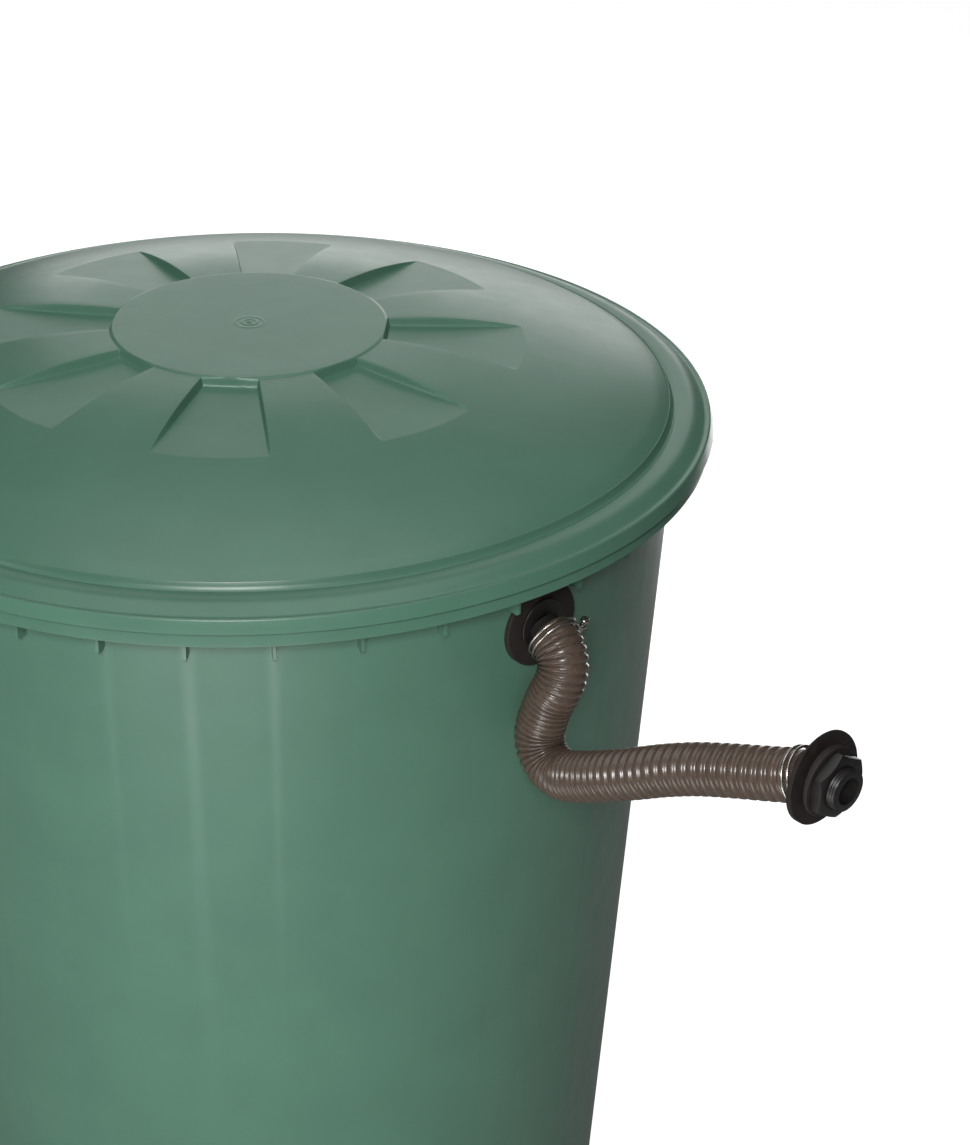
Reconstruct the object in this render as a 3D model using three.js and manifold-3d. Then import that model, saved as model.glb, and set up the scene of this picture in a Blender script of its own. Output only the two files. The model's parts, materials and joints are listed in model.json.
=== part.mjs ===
// A round rain barrel with a domed lid, a low tap, and the bellows hose that links it to a second barrel.
// Millimetres, +Z up. The origin is at the middle of the foot, on the ground, and the tap is on the -Y side.
// Azimuths are counted from -Y towards +X.
import * as THREE from "three";
import { mergeVertices } from "three/addons/utils/BufferGeometryUtils.js";
import Module from "manifold-3d";

const wasm = await Module();
wasm.setup();

// ---- Fits ----
const GAP = 0.3; // left between pieces that touch
const THREAD_CLEARANCE = 0.8; // hole over thread, on the radius

// ---- Tub ----
const TUB_HEIGHT = 850;
const MOUTH_RADIUS = 371.6; // outer face of the wall at the rim
const TAPER = 0.052; // radius lost for each millimetre down
const WALL = 3.5;
const FOOT_WIDTH = 16;
const BASE_RISE = 14; // underside of the bottom above the ground
const RIM_FLAT = 12.4; // flat top of the rim, out from the wall
const RIM_REACH = 28.3; // out to the lower edge of the turned-down band
const RIM_DROP = 26.2; // rim top to the lower edge of the band
const RIB_COUNT = 36;
const RIB_THICKNESS = 3;
const RIB_REACH = 11.5; // out from the wall
const RIB_DROP = 50; // rim top to the foot of each rib
const RIB_CLEARANCE = 1; // round the seal of the link fitting

// ---- Lid ----
const LID_WALL = 3;
const LID_OVERHANG = 3.6; // skirt beyond the tub's band
const SKIRT_DROP = 13.6; // below the rim top
const CROWN_RISE = 64.2; // central disc above the rim top
const DISC_RADIUS = 117.6;
const DOME_RISE = 10; // edge of the dome above the rim top
const DOME_CURVE = 1.8; // power of the dome's fall: 1 is a cone, 2 a paraboloid
const DOME_STEPS = 6;
const PLUG_DROP = 12; // ring that sits inside the mouth, below the rim top
const PLUG_CLEARANCE = 1.5;
const RECESS_COUNT = 8;
const RECESS_STEP = 8; // depth at the disc
const RECESS_LENGTH = 121;
const RECESS_INNER_WIDTH = 47;
const RECESS_OUTER_WIDTH = 98;

// ---- Link fitting, one on each barrel ----
const LINK_AZIMUTH = 45;
const LINK_DROP = 72.7; // rim top to the axis of the fitting
const LINK_THREAD = 16;
const LINK_BORE = 10.5;
const LINK_SEAL_RADIUS = 36;
const LINK_SEAL_THICKNESS = 3;
const LINK_WASHER_RADIUS = 27;
const LINK_NUT_RADIUS = 26;
const NOZZLE_FLANGE_RADIUS = 22;
const NOZZLE_FLANGE = 2;
const NOZZLE_STEM = 24; // inside the wall
const SPIGOT_TILT = 22; // degrees below level
const SPIGOT_IN_HOSE = 7;
const SPIGOT_CLEARANCE = 0.9; // inside the hose, on the radius

// ---- Bellows hose ----
const HOSE_RADIUS = 19.2;
const HOSE_WALL = 3;
const HOSE_SIDES = 12;
const HOSE_STEPS = 44;
const HOSE_BORE = (HOSE_RADIUS - HOSE_WALL) * Math.cos(Math.PI / HOSE_SIDES); // across the flats inside
const BARREL_SPACING = 291.5; // from this barrel's wall to the second one's, along the link
// The hose's middle line in a frame at the fitting: out from the wall, sideways, and up from the fitting's axis.
const HOSE_ROUTE = [
  [13.2, 0, -5.3],
  [19, -0.5, -7.7],
  [28.5, -2.3, -15],
  [33.5, -4.8, -24.6],
  [33.5, -8.8, -38.6],
  [27.7, -12.2, -54.5],
  [24.6, -15.2, -69.5],
  [22.8, -17.6, -83.8],
  [26.9, -19.1, -96.7],
  [37.2, -19.9, -106],
  [51.8, -20.2, -108.5],
  [71.5, -19.6, -101],
  [99, -17.6, -87.5],
  [128, -16, -71.5],
  [156, -14, -55.5],
  [185, -11.5, -41],
  [216, -8, -28.5],
  [248, -3.5, -17],
  [278.3, 0, -5.3],
];

// ---- Hose clamps ----
const CLAMP_WIRE = 1.1;
const CLAMP_CLEARANCE = 1;
const CLAMP_SPACING = 5;
const CLAMP_PLACE = 5; // from the end of the hose
const CLAMP_SCREW_RADIUS = 2;
const CLAMP_SCREW_LENGTH = 17;

// ---- Tap ----
const TAP_HEIGHT = 110;
const TAP_THREAD = 10.5;
const TAP_BORE = 6;
const TAP_SEAL_RADIUS = 18;
const TAP_SEAL_THICKNESS = 2.5;
const TAP_FLANGE = 3.5;
const TAP_STEM = 20;
const TAP_BARREL_RADIUS = 10.5;
const TAP_PLUG_PLACE = 35; // plug axis, out from the wall
const TAP_PLUG_RADIUS = 9;
const TAP_HOUSING_RADIUS = 13;
const TAP_HOUSING_HALF = 16;
const TAP_SPOUT_PLACE = 58;
const TAP_SPOUT_RADIUS = 9;
const TAP_SPOUT_DROP = 38;
const TAP_LEVER_LENGTH = 34;
const TAP_LEVER_WIDTH = 11;
const TAP_HUB_RADIUS = 11;
const TAP_HUB_HEIGHT = 8;
const TAP_SCREW_RADIUS = 1.8;

const TURN_SEGMENTS = 72; // round the tub and the lid
const SMALL_SEGMENTS = 24;

const RIM_RADIUS = MOUTH_RADIUS + RIM_REACH;
const LINK_HEIGHT = TUB_HEIGHT - LINK_DROP;
const wallRadius = (z) => MOUTH_RADIUS - TAPER * (TUB_HEIGHT - z);
const degrees = THREE.MathUtils.degToRad;

// ---- Solids ----
function solid(geometry) {
  const bare = geometry.index ? geometry.toNonIndexed() : geometry.clone();
  bare.deleteAttribute("normal");
  bare.deleteAttribute("uv");
  const merged = mergeVertices(bare, 1e-3);
  return new wasm.Manifold(
    new wasm.Mesh({
      numProp: 3,
      vertProperties: merged.attributes.position.array,
      triVerts: new Uint32Array(merged.index.array),
    }),
  );
}

function geometryOf(manifold) {
  const mesh = manifold.getMesh();
  const geometry = new THREE.BufferGeometry();
  geometry.setAttribute("position", new THREE.BufferAttribute(new Float32Array(mesh.vertProperties), 3));
  geometry.setIndex(new THREE.BufferAttribute(new Uint32Array(mesh.triVerts), 1));
  geometry.computeVertexNormals();
  return geometry;
}

const join = (parts) => parts.reduce((sum, part) => sum.add(part));
const cut = (body, tools) => tools.reduce((rest, tool) => rest.subtract(tool), body);

// A solid of revolution about Z from [radius, height] pairs, listed so that the material is on the left.
function turned(profile, segments) {
  const points = profile.map(([r, z]) => new THREE.Vector2(r, z));
  return new THREE.LatheGeometry(points, segments).rotateX(Math.PI / 2);
}

// The same about X, from [radius, x] pairs.
function turnedAlongX(profile, segments) {
  return turned(profile, segments).rotateY(Math.PI / 2);
}

const rod = (radius, from, to) => [
  [0, from],
  [radius, from],
  [radius, to],
  [0, to],
];
const rodAlongX = (radius, from, to) => solid(turnedAlongX(rod(radius, from, to), SMALL_SEGMENTS));
const rodAlongZ = (radius, from, to) => solid(turned(rod(radius, from, to), SMALL_SEGMENTS));

function box(x0, x1, y0, y1, z0, z1) {
  const geometry = new THREE.BoxGeometry(x1 - x0, y1 - y0, z1 - z0);
  return geometry.translate((x0 + x1) / 2, (y0 + y1) / 2, (z0 + z1) / 2);
}

// A flat outline in X and Z, given a thickness along Y.
function plate(outline, thickness) {
  const shape = new THREE.Shape(outline.map(([x, z]) => new THREE.Vector2(x, z)));
  const geometry = new THREE.ExtrudeGeometry(shape, { depth: thickness, bevelEnabled: false });
  return geometry.rotateX(Math.PI / 2).translate(0, thickness / 2, 0);
}

const hexPrism = (radius, from, to) => solid(turnedAlongX(rod(radius, from, to), 6));

// ---- Materials ----
const finish = (color, roughness, metalness = 0) =>
  new THREE.MeshStandardMaterial({ color, roughness, metalness });
const GREEN = finish(0x4f7560, 0.35);
const HOSE_BROWN = finish(0x5a4e48, 0.4);
const BLACK_PP = finish(0x24211f, 0.45);
const RUBBER = finish(0x1b1817, 0.8);
const STEEL = finish(0xb9b7b2, 0.3, 1);
const TAP_BLACK = finish(0x1d1e1e, 0.4);

const part = new THREE.Group();

function add(group, name, geometry, material) {
  const mesh = new THREE.Mesh(geometry, material);
  mesh.name = name;
  group.add(mesh);
}

// A frame whose +X points out of the wall, at an azimuth and a height on the wall's outer face.
function wallFrame(azimuth, height, outwards = 0) {
  const frame = new THREE.Group();
  const turn = degrees(azimuth - 90);
  const radius = wallRadius(height) + outwards;
  frame.position.set(radius * Math.cos(turn), radius * Math.sin(turn), height);
  frame.rotation.z = turn;
  part.add(frame);
  return frame;
}

// The wall's outer face grown by an offset, as a solid cone in a wall frame at that height.
function wallCone(height, offset) {
  const half = 60;
  const at = (z) => wallRadius(height + z) + offset;
  const profile = [
    [0, -half],
    [at(-half), -half],
    [at(half), half],
    [0, half],
  ];
  return solid(turned(profile, TURN_SEGMENTS).translate(-wallRadius(height), 0, 0));
}

// ---- Tub ----
function tubProfile() {
  const top = TUB_HEIGHT;
  const foot = wallRadius(0);
  const bandTop = RIM_REACH - 4.4;
  return [
    [0, BASE_RISE],
    [foot - FOOT_WIDTH - 6, BASE_RISE],
    [foot - FOOT_WIDTH, 0],
    [foot - 3, 0],
    [wallRadius(5), 5],
    [MOUTH_RADIUS, top - WALL],
    [MOUTH_RADIUS + RIM_FLAT - 1.5, top - WALL],
    [MOUTH_RADIUS + bandTop - WALL - 0.6, top - 11],
    [RIM_RADIUS - WALL, top - RIM_DROP],
    [RIM_RADIUS, top - RIM_DROP],
    [MOUTH_RADIUS + bandTop, top - 8.5],
    [MOUTH_RADIUS + bandTop - 1.5, top - 6.5],
    [MOUTH_RADIUS + RIM_FLAT, top],
    [MOUTH_RADIUS - WALL + 1, top],
    [MOUTH_RADIUS - WALL, top - 1],
    [wallRadius(BASE_RISE + 30) - WALL, BASE_RISE + 30],
    [foot - FOOT_WIDTH - 8, BASE_RISE + WALL],
    [0, BASE_RISE + WALL],
  ];
}

function rib(azimuth) {
  const bottom = TUB_HEIGHT - RIB_DROP;
  const outer = MOUTH_RADIUS + RIB_REACH - 2;
  const outline = [
    [wallRadius(bottom) - 1.5, bottom],
    [outer, bottom],
    [outer, TUB_HEIGHT - WALL + 0.6],
    [MOUTH_RADIUS - 1.5, TUB_HEIGHT - WALL + 0.6],
  ];
  return solid(plate(outline, RIB_THICKNESS).rotateZ(degrees(azimuth - 90)));
}

function wallHole(azimuth, height, radius) {
  const hole = turnedAlongX(rod(radius, wallRadius(height) - 20, wallRadius(height) + 20), SMALL_SEGMENTS);
  return solid(hole.translate(0, 0, height).rotateZ(degrees(azimuth - 90)));
}

const sealRoom = wallHole(LINK_AZIMUTH, LINK_HEIGHT, LINK_SEAL_RADIUS + RIB_CLEARANCE);
const ribs = Array.from({ length: RIB_COUNT }, (_, k) => rib((k * 360) / RIB_COUNT).subtract(sealRoom));
const tubBody = join([solid(turned(tubProfile(), TURN_SEGMENTS)), ...ribs]);
const tub = cut(tubBody, [
  wallHole(LINK_AZIMUTH, LINK_HEIGHT, LINK_THREAD + THREAD_CLEARANCE),
  wallHole(0, TAP_HEIGHT, TAP_THREAD + THREAD_CLEARANCE),
]);
add(part, "tub", geometryOf(tub), GREEN);

// ---- Lid ----
const domeEdge = MOUTH_RADIUS - 7.4;

function domeHeight(r) {
  const share = Math.max(r - DISC_RADIUS, 0) / (domeEdge - DISC_RADIUS);
  return TUB_HEIGHT + CROWN_RISE - (CROWN_RISE - DOME_RISE) * share ** DOME_CURVE;
}

function domeLine(drop) {
  return Array.from({ length: DOME_STEPS + 1 }, (_, k) => {
    const r = DISC_RADIUS + ((domeEdge - DISC_RADIUS) * k) / DOME_STEPS;
    return [r, domeHeight(r) - drop];
  });
}

// Outer faces of the lid, from the skirt up to the middle.
function lidOutside() {
  const top = TUB_HEIGHT;
  const skirt = RIM_RADIUS + LID_OVERHANG;
  const rest = top + LID_WALL + GAP;
  return [
    [0, top - SKIRT_DROP],
    [skirt, top - SKIRT_DROP],
    [RIM_RADIUS + 0.1, top - 2.9],
    [RIM_RADIUS - 1.4, top - 2.3],
    [RIM_RADIUS - 4.1, top - 3.2],
    [MOUTH_RADIUS + RIM_FLAT + 6, top + 0.2],
    [MOUTH_RADIUS + RIM_FLAT, rest],
    [MOUTH_RADIUS + RIM_FLAT - 7, rest + 0.5],
    [MOUTH_RADIUS - 3.1, rest],
    [MOUTH_RADIUS - 5.1, top + 5.5],
    ...domeLine(0).reverse(),
    [0, top + CROWN_RISE],
  ];
}

// The hollow under the lid, open below, with the plug ring standing in it.
function lidInside() {
  const top = TUB_HEIGHT;
  const skirt = RIM_RADIUS + LID_OVERHANG - LID_WALL;
  const plug = MOUTH_RADIUS - WALL - PLUG_CLEARANCE;
  return [
    [0, top - SKIRT_DROP - 5],
    [skirt, top - SKIRT_DROP - 5],
    [skirt, top - SKIRT_DROP],
    [RIM_RADIUS - 2.1, top - 6.8],
    [RIM_RADIUS - 5.1, top - 6],
    [MOUTH_RADIUS + RIM_FLAT + 5, top - 2.6],
    [MOUTH_RADIUS + RIM_FLAT - 0.4, top + GAP],
    [plug, top + GAP],
    [plug, top - PLUG_DROP],
    [plug - LID_WALL, top - PLUG_DROP],
    [plug - LID_WALL, top + 4],
    ...domeLine(LID_WALL).slice(0, -1).reverse(),
    [0, top + CROWN_RISE - LID_WALL],
  ];
}

// The space of one recess, as a wedge whose floor runs out to meet the dome, grown on its sides and floor.
function recess(azimuth, grow) {
  const x0 = DISC_RADIUS - grow;
  const x1 = DISC_RADIUS + RECESS_LENGTH + grow;
  const w0 = RECESS_INNER_WIDTH / 2 + grow;
  const w1 = RECESS_OUTER_WIDTH / 2 + grow;
  const floorIn = TUB_HEIGHT + CROWN_RISE - RECESS_STEP;
  const slope = (domeHeight(DISC_RADIUS + RECESS_LENGTH) - floorIn) / RECESS_LENGTH;
  const floor = (x) => floorIn + slope * (x - DISC_RADIUS) - grow;
  const roof = TUB_HEIGHT + CROWN_RISE + 30;
  const corners = [
    [x0, -w0, floor(x0)],
    [x1, -w1, floor(x1)],
    [x1, w1, floor(x1)],
    [x0, w0, floor(x0)],
    [x0, -w0, roof],
    [x1, -w1, roof],
    [x1, w1, roof],
    [x0, w0, roof],
  ];
  const geometry = new THREE.BufferGeometry();
  geometry.setAttribute("position", new THREE.Float32BufferAttribute(corners.flat(), 3));
  geometry.setIndex([
    0, 2, 1, 0, 3, 2, 4, 5, 6, 4, 6, 7, 0, 1, 5, 0, 5, 4, 1, 2, 6, 1, 6, 5, 2, 3, 7, 2, 7, 6, 3, 0, 4, 3, 4, 7,
  ]);
  return solid(geometry.rotateZ(degrees(azimuth - 90)));
}

const recesses = (grow) =>
  Array.from({ length: RECESS_COUNT }, (_, k) => recess((k * 360) / RECESS_COUNT, grow));
const lidFull = cut(solid(turned(lidOutside(), TURN_SEGMENTS)), recesses(0));
const lidHollow = cut(solid(turned(lidInside(), TURN_SEGMENTS)), recesses(LID_WALL));
add(part, "lid", geometryOf(lidFull.subtract(lidHollow)), GREEN);

// ---- Through-wall fastening: outer seal, inner washer and lock nut ----
function addFastening(frame, prefix, height, thread, sealRadius, sealThickness, washerRadius, nutRadius) {
  const bore = rodAlongX(thread + GAP, -40, 40);
  const seal = cut(rodAlongX(sealRadius, -4, sealThickness + GAP), [bore, wallCone(height, GAP)]);
  add(frame, `${prefix}_seal`, geometryOf(seal), RUBBER);
  const washerFace = -WALL - GAP - 4;
  const washer = rodAlongX(washerRadius, washerFace, 0).intersect(wallCone(height, -WALL - GAP));
  add(frame, `${prefix}_inner_washer`, geometryOf(cut(washer, [bore])), RUBBER);
  const nut = cut(hexPrism(nutRadius, washerFace - GAP - 9, washerFace - GAP), [bore]);
  add(frame, `${prefix}_lock_nut`, geometryOf(nut), BLACK_PP);
}

// ---- Link fitting ----
function nozzle() {
  const face = LINK_SEAL_THICKNESS + 2 * GAP;
  const reach = (HOSE_ROUTE[0][0] ** 2 + HOSE_ROUTE[0][2] ** 2) ** 0.5 + SPIGOT_IN_HOSE;
  const alongSpigot = (radius, from, to) =>
    solid(turnedAlongX(rod(radius, from, to), SMALL_SEGMENTS).rotateY(degrees(SPIGOT_TILT)));
  const spigot = alongSpigot(HOSE_BORE - SPIGOT_CLEARANCE, 1, reach);
  const body = join([
    rodAlongX(LINK_THREAD, -NOZZLE_STEM, face + 1),
    rodAlongX(NOZZLE_FLANGE_RADIUS, face, face + NOZZLE_FLANGE),
    spigot.subtract(rodAlongX(LINK_SEAL_RADIUS, -NOZZLE_STEM, face)),
  ]);
  return cut(body, [rodAlongX(LINK_BORE, -NOZZLE_STEM - 1, 1), alongSpigot(LINK_BORE, -1, reach + 1)]);
}

const nozzleGeometry = geometryOf(nozzle());

function addLinkFitting(prefix, outwards, facing) {
  const frame = wallFrame(LINK_AZIMUTH, LINK_HEIGHT, outwards);
  frame.rotation.z += facing;
  addFastening(
    frame,
    prefix,
    LINK_HEIGHT,
    LINK_THREAD,
    LINK_SEAL_RADIUS,
    LINK_SEAL_THICKNESS,
    LINK_WASHER_RADIUS,
    LINK_NUT_RADIUS,
  );
  add(frame, `${prefix}_nozzle`, nozzleGeometry, BLACK_PP);
}

addLinkFitting("link", 0, 0);
addLinkFitting("far", BARREL_SPACING, Math.PI);

// ---- Bellows hose ----
const linkPlane = wallFrame(LINK_AZIMUTH, LINK_HEIGHT);
const hoseCurve = new THREE.CatmullRomCurve3(
  HOSE_ROUTE.map(([out, side, up]) => new THREE.Vector3(out, side, up)),
  false,
  "centripetal",
);
hoseCurve.arcLengthDivisions = 800;

function ring(radius, sides) {
  return Array.from({ length: sides }, (_, k) => {
    const angle = (2 * Math.PI * k) / sides;
    return new THREE.Vector2(radius * Math.cos(angle), radius * Math.sin(angle));
  });
}

const hoseSection = new THREE.Shape(ring(HOSE_RADIUS, HOSE_SIDES));
hoseSection.holes.push(new THREE.Path(ring(HOSE_RADIUS - HOSE_WALL, HOSE_SIDES)));
const hose = new THREE.ExtrudeGeometry(hoseSection, { steps: HOSE_STEPS, extrudePath: hoseCurve });
add(linkPlane, "link_hose", hose, HOSE_BROWN);

// ---- Hose clamps: a double wire ring drawn together by a screw in a nut ----
function clampFrame(place) {
  const length = hoseCurve.getLength();
  const share = (place < 0 ? length + place : place) / length;
  const frame = new THREE.Group();
  frame.position.copy(hoseCurve.getPointAt(share));
  frame.quaternion.setFromUnitVectors(new THREE.Vector3(1, 0, 0), hoseCurve.getTangentAt(share));
  linkPlane.add(frame);
  return frame;
}

function addClamp(prefix, place) {
  const frame = clampFrame(place);
  const radius = HOSE_RADIUS + CLAMP_CLEARANCE + CLAMP_WIRE;
  const half = CLAMP_SPACING / 2;
  const loop = (x) =>
    solid(new THREE.TorusGeometry(radius, CLAMP_WIRE, 6, SMALL_SEGMENTS).rotateY(Math.PI / 2).translate(x, 0, 0));
  const saddleFrom = radius + 0.4;
  const saddle = solid(box(-half - 1, half + 1, saddleFrom - 1, saddleFrom + 5, -9, -6));
  add(frame, `${prefix}_clamp_wire`, geometryOf(join([loop(-half), loop(half), saddle])), STEEL);
  const axis = saddleFrom + 2.4 + CLAMP_SCREW_RADIUS;
  const nutBore = rodAlongZ(CLAMP_SCREW_RADIUS + GAP, -20, 20).translate(0, axis, 0);
  const nut = solid(box(-half, half, axis - 3.6, axis + 3.6, 2, 5)).subtract(nutBore);
  add(frame, `${prefix}_clamp_nut`, geometryOf(nut), STEEL);
  const low = -6 + GAP;
  const screw = [
    [0, low],
    [CLAMP_SCREW_RADIUS, low],
    [CLAMP_SCREW_RADIUS, low + CLAMP_SCREW_LENGTH],
    [CLAMP_SCREW_RADIUS + 1.6, low + CLAMP_SCREW_LENGTH],
    [CLAMP_SCREW_RADIUS + 1.6, low + CLAMP_SCREW_LENGTH + 2.6],
    [0, low + CLAMP_SCREW_LENGTH + 2.6],
  ];
  add(frame, `${prefix}_clamp_screw`, turned(screw, 12).translate(0, axis, 0), STEEL);
}

addClamp("link", CLAMP_PLACE);
addClamp("far", -CLAMP_PLACE);

// ---- Tap ----
const tapFrame = wallFrame(0, TAP_HEIGHT);
const tapTop = TAP_HOUSING_HALF + 4; // top of the plug, above the housing
const tapAxis = (shape) => shape.translate(TAP_PLUG_PLACE, 0, 0); // for a solid or a geometry

addFastening(
  tapFrame,
  "tap",
  TAP_HEIGHT,
  TAP_THREAD,
  TAP_SEAL_RADIUS,
  TAP_SEAL_THICKNESS,
  TAP_SEAL_RADIUS,
  TAP_SEAL_RADIUS,
);

function tapBody() {
  const face = TAP_SEAL_THICKNESS + 2 * GAP;
  const spout = (radius, from, to) => rodAlongZ(radius, from, to).translate(TAP_SPOUT_PLACE, 0, 0);
  const body = join([
    rodAlongX(TAP_THREAD, -TAP_STEM, face + 1),
    rodAlongX(TAP_SEAL_RADIUS, face, face + TAP_FLANGE),
    rodAlongX(TAP_BARREL_RADIUS, face + 1, TAP_SPOUT_PLACE + 3),
    tapAxis(rodAlongZ(TAP_HOUSING_RADIUS, -TAP_HOUSING_HALF, TAP_HOUSING_HALF)),
    spout(TAP_SPOUT_RADIUS, -TAP_SPOUT_DROP, 0),
    spout(TAP_SPOUT_RADIUS + 2, -TAP_SPOUT_DROP, -TAP_SPOUT_DROP + 8),
  ]);
  return cut(body, [
    rodAlongX(TAP_BORE, -TAP_STEM - 1, TAP_SPOUT_PLACE),
    tapAxis(rodAlongZ(TAP_PLUG_RADIUS + GAP, -TAP_HOUSING_HALF + 4, TAP_HOUSING_HALF + 1)),
    spout(TAP_BORE, -TAP_SPOUT_DROP - 1, 0),
  ]);
}

function tapPlug() {
  const waterway = solid(
    turnedAlongX(rod(TAP_BORE, -TAP_PLUG_RADIUS - 2, TAP_PLUG_RADIUS + 2), SMALL_SEGMENTS).rotateZ(Math.PI / 2),
  );
  const shank = rodAlongZ(TAP_PLUG_RADIUS, -TAP_HOUSING_HALF + 4 + GAP, tapTop);
  return tapAxis(cut(shank, [waterway, rodAlongZ(TAP_SCREW_RADIUS + GAP, tapTop - 8, tapTop + 1)]));
}

function tapHandle() {
  const under = tapTop + GAP;
  const roof = under + TAP_HUB_HEIGHT;
  const lever = solid(
    box(-TAP_LEVER_WIDTH / 2, TAP_LEVER_WIDTH / 2, -TAP_LEVER_LENGTH, TAP_LEVER_LENGTH / 2, under + 2, roof),
  );
  const hub = rodAlongZ(TAP_HUB_RADIUS, under, roof);
  return tapAxis(join([hub, lever]).subtract(rodAlongZ(TAP_SCREW_RADIUS + GAP, under - 1, roof + 1)));
}

function tapScrew() {
  const seat = tapTop + GAP + TAP_HUB_HEIGHT + GAP;
  const profile = [
    [0, tapTop - 7],
    [TAP_SCREW_RADIUS, tapTop - 7],
    [TAP_SCREW_RADIUS, seat],
    [TAP_SCREW_RADIUS + 2.4, seat],
    [TAP_SCREW_RADIUS + 2.4, seat + 1.4],
    [TAP_SCREW_RADIUS + 1, seat + 2.6],
    [0, seat + 2.6],
  ];
  return tapAxis(turned(profile, 12));
}

add(tapFrame, "tap_body", geometryOf(tapBody()), TAP_BLACK);
add(tapFrame, "tap_plug", geometryOf(tapPlug()), TAP_BLACK);
add(tapFrame, "tap_handle", geometryOf(tapHandle()), TAP_BLACK);
add(tapFrame, "tap_handle_screw", tapScrew(), STEEL);

export default part;
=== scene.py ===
"""Looks of a round rain barrel, its domed lid, its tap and the bellows hose that links it to a second barrel.

Metres, +Z up. The barrel stands on the ground at the origin, with its tap on the -Y side.
Azimuths are counted from -Y towards +X. Profiles are [radius, height, fillet] in millimetres.
"""

import json
import math

import bpy
from bpy.props import FloatProperty, FloatVectorProperty, IntProperty, PointerProperty, StringProperty
from mathutils import Matrix, Vector

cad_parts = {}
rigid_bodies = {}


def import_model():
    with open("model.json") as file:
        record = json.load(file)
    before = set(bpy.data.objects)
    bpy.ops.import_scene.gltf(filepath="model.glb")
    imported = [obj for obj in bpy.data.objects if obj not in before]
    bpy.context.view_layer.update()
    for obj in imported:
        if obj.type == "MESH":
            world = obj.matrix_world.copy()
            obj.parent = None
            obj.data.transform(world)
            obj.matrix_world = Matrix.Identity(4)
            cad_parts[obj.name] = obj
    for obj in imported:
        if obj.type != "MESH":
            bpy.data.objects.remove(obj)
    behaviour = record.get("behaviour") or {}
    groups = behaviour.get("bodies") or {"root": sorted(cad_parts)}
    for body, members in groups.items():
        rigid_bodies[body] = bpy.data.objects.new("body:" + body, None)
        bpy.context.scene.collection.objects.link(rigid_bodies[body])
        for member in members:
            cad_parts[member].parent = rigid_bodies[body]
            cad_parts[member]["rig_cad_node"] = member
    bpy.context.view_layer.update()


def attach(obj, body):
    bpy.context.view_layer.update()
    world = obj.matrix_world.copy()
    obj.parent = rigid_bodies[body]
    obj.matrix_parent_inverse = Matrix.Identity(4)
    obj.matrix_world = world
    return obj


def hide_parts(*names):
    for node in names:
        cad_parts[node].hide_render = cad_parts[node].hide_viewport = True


bl_info = {
    "name": "Rain barrel",
    "version": (1, 0, 0),
    "blender": (4, 5, 0),
    "location": "View3D > Sidebar > Rain barrel",
    "description": "Builds the visible pieces of a rain barrel round its CAD frame",
    "category": "Object",
}

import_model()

MM = 0.001
GAP = 0.3  # left between pieces that touch, mm
WHOLE_TURN = 2 * math.pi
SMOOTH_UP_TO = math.radians(38)  # edges sharper than this stay sharp

# Radii and thicknesses, mm, of the fittings' threads, bores, seals, washers and nuts, and of the hose and its clamps.
LINK_THREAD = 16
LINK_BORE = 10.5
LINK_SEAL = 36
LINK_SEAL_THICKNESS = 3
LINK_WASHER = 27
LINK_NUT = 26
SPIGOT_TILT = math.radians(22)
TAP_THREAD = 10.5
TAP_BORE = 6
TAP_SEAL = 18
TAP_SEAL_THICKNESS = 2.5
TAP_WASHER = 18
TAP_NUT = 18
HOLE_CLEARANCE = 0.8
WASHER_THICKNESS = 4
NUT_THICKNESS = 9
HOSE_SIDES = 48
HOSE_WALL = 3.2
HOSE_CUFF = 9  # plain length at each end
CLAMP_PLACE = 5  # from the end of the hose to the middle of the clamp
CLAMP_GAP = 2.5  # from the middle of the clamp to each of its wires
CLAMP_SCREW = 2

# The floor and the backdrop look white, and light the barrel only faintly.
FLOOR_HALF = 27  # metres
FLOOR_GLOW = 0.95
BACKDROP_GLOW = 0.94
AMBIENT = 0.04

BARREL_MIDDLE = (0, 0, 0.6)
# Name, place, the point it faces, width, height and power: metres and watts.
STAGE_LIGHTS = (
    ("front_key", (0.1, -3.0, 2.6), BARREL_MIDDLE, 0.8, 0.6, 74),
    ("left_kicker", (-2.35, -1.36, 1.87), (0, 0, 0.9), 0.8, 0.8, 6),
    ("high_front_softbox", (-0.29, -1.66, 3.78), BARREL_MIDDLE, 2.2, 2.2, 4),
    ("overhead_softbox", (0, -0.05, 3.6), BARREL_MIDDLE, 2.5, 2.5, 28),
    ("low_back_panel", (0, 4.14, 1.33), BARREL_MIDDLE, 3, 1.4, 27),
    ("high_back_panel", (0, 3.56, 2.83), BARREL_MIDDLE, 3, 1.6, 12),
    ("front_bounce_card", (-0.07, -1.35, 0.05), (0, 0, 0.55), 1.1, 0.9, 14),
    ("right_edge_card", (0.78, 1.45, 0.04), (0.3, 0.1, 0.55), 1.0, 1.0, 10),
)

# The hose's middle line, mm, in a frame at the link fitting: out from the wall, sideways, and up.
HOSE_ROUTE = [
    (13.2, 0, -5.3),
    (19, -0.5, -7.7),
    (28.5, -2.3, -15),
    (33.5, -4.8, -24.6),
    (33.5, -8.8, -38.6),
    (27.7, -12.2, -54.5),
    (24.6, -15.2, -69.5),
    (22.8, -17.6, -83.8),
    (26.9, -19.1, -96.7),
    (37.2, -19.9, -106),
    (51.8, -20.2, -108.5),
    (71.5, -19.6, -101),
    (99, -17.6, -87.5),
    (128, -16, -71.5),
    (156, -14, -55.5),
    (185, -11.5, -41),
    (216, -8, -28.5),
    (248, -3.5, -17),
    (278.3, 0, -5.3),
]


# ---- Settings ----
def length(name, description, size_mm):
    return FloatProperty(name=name, description=description, default=size_mm * MM, min=0, unit="LENGTH")


def colour(name, description, code):
    return StringProperty(name=name, description=description + ", as an sRGB hex value", default=code)


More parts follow.
